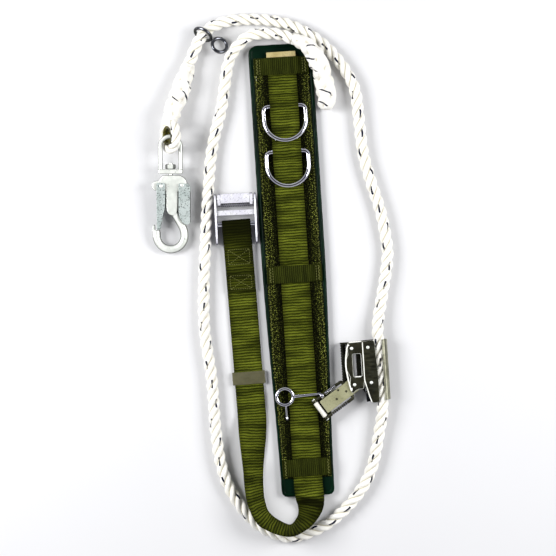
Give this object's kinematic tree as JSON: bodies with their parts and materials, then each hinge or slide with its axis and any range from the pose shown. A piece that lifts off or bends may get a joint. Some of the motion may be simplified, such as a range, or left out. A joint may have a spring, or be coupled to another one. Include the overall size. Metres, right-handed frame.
{
  "type": "work-positioning belt with rope lanyard",
  "caption": "Padded webbing body belt with swinging D-rings, a cam buckle and a sliding keeper, with a three-strand rope lanyard, swivel snap hook and rope grab.",
  "frame": {"origin": "centre of the pad's back face, on the surface that the belt lies on", "axes": "+Y along the pad towards its upper end, +X to the pad's right, +Z away from the surface"},
  "size_m": [0.3576, 0.7938, 0.0493],
  "materials": {
    "vinyl": "dark green glossy vinyl",
    "binding": "green vinyl edge binding",
    "foam": "closed-cell foam",
    "facing": "dark olive webbing with a broken zigzag weave",
    "webbing": "olive ribbed webbing",
    "khaki": "matt khaki plated sheet",
    "chrome": "bright plated steel",
    "zinc": "bright zinc plated forging",
    "gate_zinc": "speckled zinc plated pressing",
    "dark_steel": "dark olive-grey plated sheet",
    "dull_steel": "dark polished steel",
    "rope": "ivory three-strand synthetic rope with navy tracers",
    "thimble": "dark olive thimble",
    "roller": "white roller on a bright pin"
  },
  "bodies": {
    "belt": {"pad_back": "vinyl", "pad_foam": "foam", "pad_front": "vinyl", "pad_binding": "binding", "facing_webbing": "facing", "keeper_top": "webbing", "keeper_middle": "webbing", "keeper_bottom": "webbing", "belt_strap": "webbing", "strap_tip": "khaki", "rope": "rope", "eye_splice": "rope", "end_splice": "rope", "thimble": "thimble"},
    "sliding_keeper": {"slide_keeper": "khaki"},
    "upper_d_ring": {"d_ring_upper": "chrome"},
    "lower_d_ring": {"d_ring_lower": "chrome"},
    "buckle": {"buckle_side_left": "chrome", "buckle_side_right": "chrome", "buckle_strap_bar": "chrome", "buckle_flat_bar": "chrome", "buckle_cam_pin": "chrome"},
    "cam": {"buckle_cam": "chrome", "buckle_cover": "chrome"},
    "bail": {"swivel_bail": "zinc"},
    "hook": {"swivel_nut": "zinc", "hook_body": "zinc", "hook_gate_pin": "zinc", "hook_lever_pin": "zinc"},
    "gate": {"hook_gate": "gate_zinc"},
    "lock_lever": {"hook_lever": "gate_zinc"},
    "ring": {"eight_ring": "dull_steel"},
    "grab": {"grab_shell": "dark_steel", "grab_front": "dark_steel", "grab_door": "dark_steel", "grab_spine": "dark_steel", "grab_rivets": "zinc", "grab_block": "dark_steel", "link_pin": "zinc"},
    "grab_cam": {"grab_cam": "dark_steel"},
    "link": {"link_shackle": "dark_steel", "link_sleeve": "khaki", "link_roller": "roller"},
    "eye": {"eye_rod": "chrome", "eye_tail": "chrome"}
  },
  "joints": [
    {"name": "keeper_slide", "type": "slide", "parent": "belt", "child": "sliding_keeper", "axis": [-0.0175, 0.9998, 0], "range_m": [-0.04, 0.105]},
    {"name": "upper_d_swing", "type": "hinge", "parent": "belt", "child": "upper_d_ring", "pos_m": [0.0008, 0.245, 0.01535], "axis": [-1, 0, 0], "range_deg": [0, 168]},
    {"name": "lower_d_swing", "type": "hinge", "parent": "belt", "child": "lower_d_ring", "pos_m": [0.0008, 0.177, 0.01535], "axis": [-1, 0, 0], "range_deg": [0, 150]},
    {"name": "buckle_lift", "type": "hinge", "parent": "belt", "child": "buckle", "pos_m": [-0.08179, 0.074, 0.011], "axis": [0.9998, -0.0175, 0], "range_deg": [0, 60]},
    {"name": "cam_open", "type": "hinge", "parent": "buckle", "child": "cam", "pos_m": [-0.08116, 0.10999, 0.013], "axis": [-0.9998, 0.0175, 0], "range_deg": [0, 55]},
    {"name": "bail_swing", "type": "hinge", "parent": "belt", "child": "bail", "pos_m": [-0.17082, 0.20936, 0.02459], "axis": [-0.9979, 0.0645, 0], "range_deg": [0, 8]},
    {"name": "hook_swivel", "type": "hinge", "parent": "bail", "child": "hook", "pos_m": [-0.1745, 0.1525, 0.0185], "axis": [0.0642, 0.9923, 0.1063], "continuous": true},
    {"name": "gate_open", "type": "hinge", "parent": "hook", "child": "gate", "pos_m": [-0.189, 0.1375, 0.0168], "axis": [-0.0069, -0.106, 0.9943], "range_deg": [0, 16], "stiffness_Nm_per_rad": 0.08, "springref_deg": -17.19},
    {"name": "lever_press", "type": "hinge", "parent": "hook", "child": "lock_lever", "pos_m": [-0.158, 0.13649, 0.01691], "axis": [0.0069, 0.106, -0.9943], "range_deg": [0, 3.5], "stiffness_Nm_per_rad": 0.08, "springref_deg": -17.19},
    {"name": "ring_turn", "type": "hinge", "parent": "belt", "child": "ring", "pos_m": [-0.113, 0.359, 0.015], "axis": [0.6691, 0.7431, 0], "range_deg": [0, 120]},
    {"name": "grab_slide", "type": "slide", "parent": "belt", "child": "grab", "axis": [0, 1, 0], "range_m": [-0.009, 0.012]},
    {"name": "grab_cam_turn", "type": "hinge", "parent": "grab", "child": "grab_cam", "pos_m": [0.1037, -0.174, 0.0135], "axis": [0, 0, 1], "range_deg": [0, 12], "stiffness_Nm_per_rad": 0.05, "springref_deg": -11.46},
    {"name": "link_swing", "type": "hinge", "parent": "grab", "child": "link", "pos_m": [0.0787, -0.1756, 0.0188], "axis": [0, 0, 1], "range_deg": [-8, 30]},
    {"name": "eye_swing", "type": "hinge", "parent": "link", "child": "eye", "pos_m": [0.02927, -0.18946, 0.0188], "axis": [0.8387, 0.5446, 0], "range_deg": [0, 100]}
  ]
}
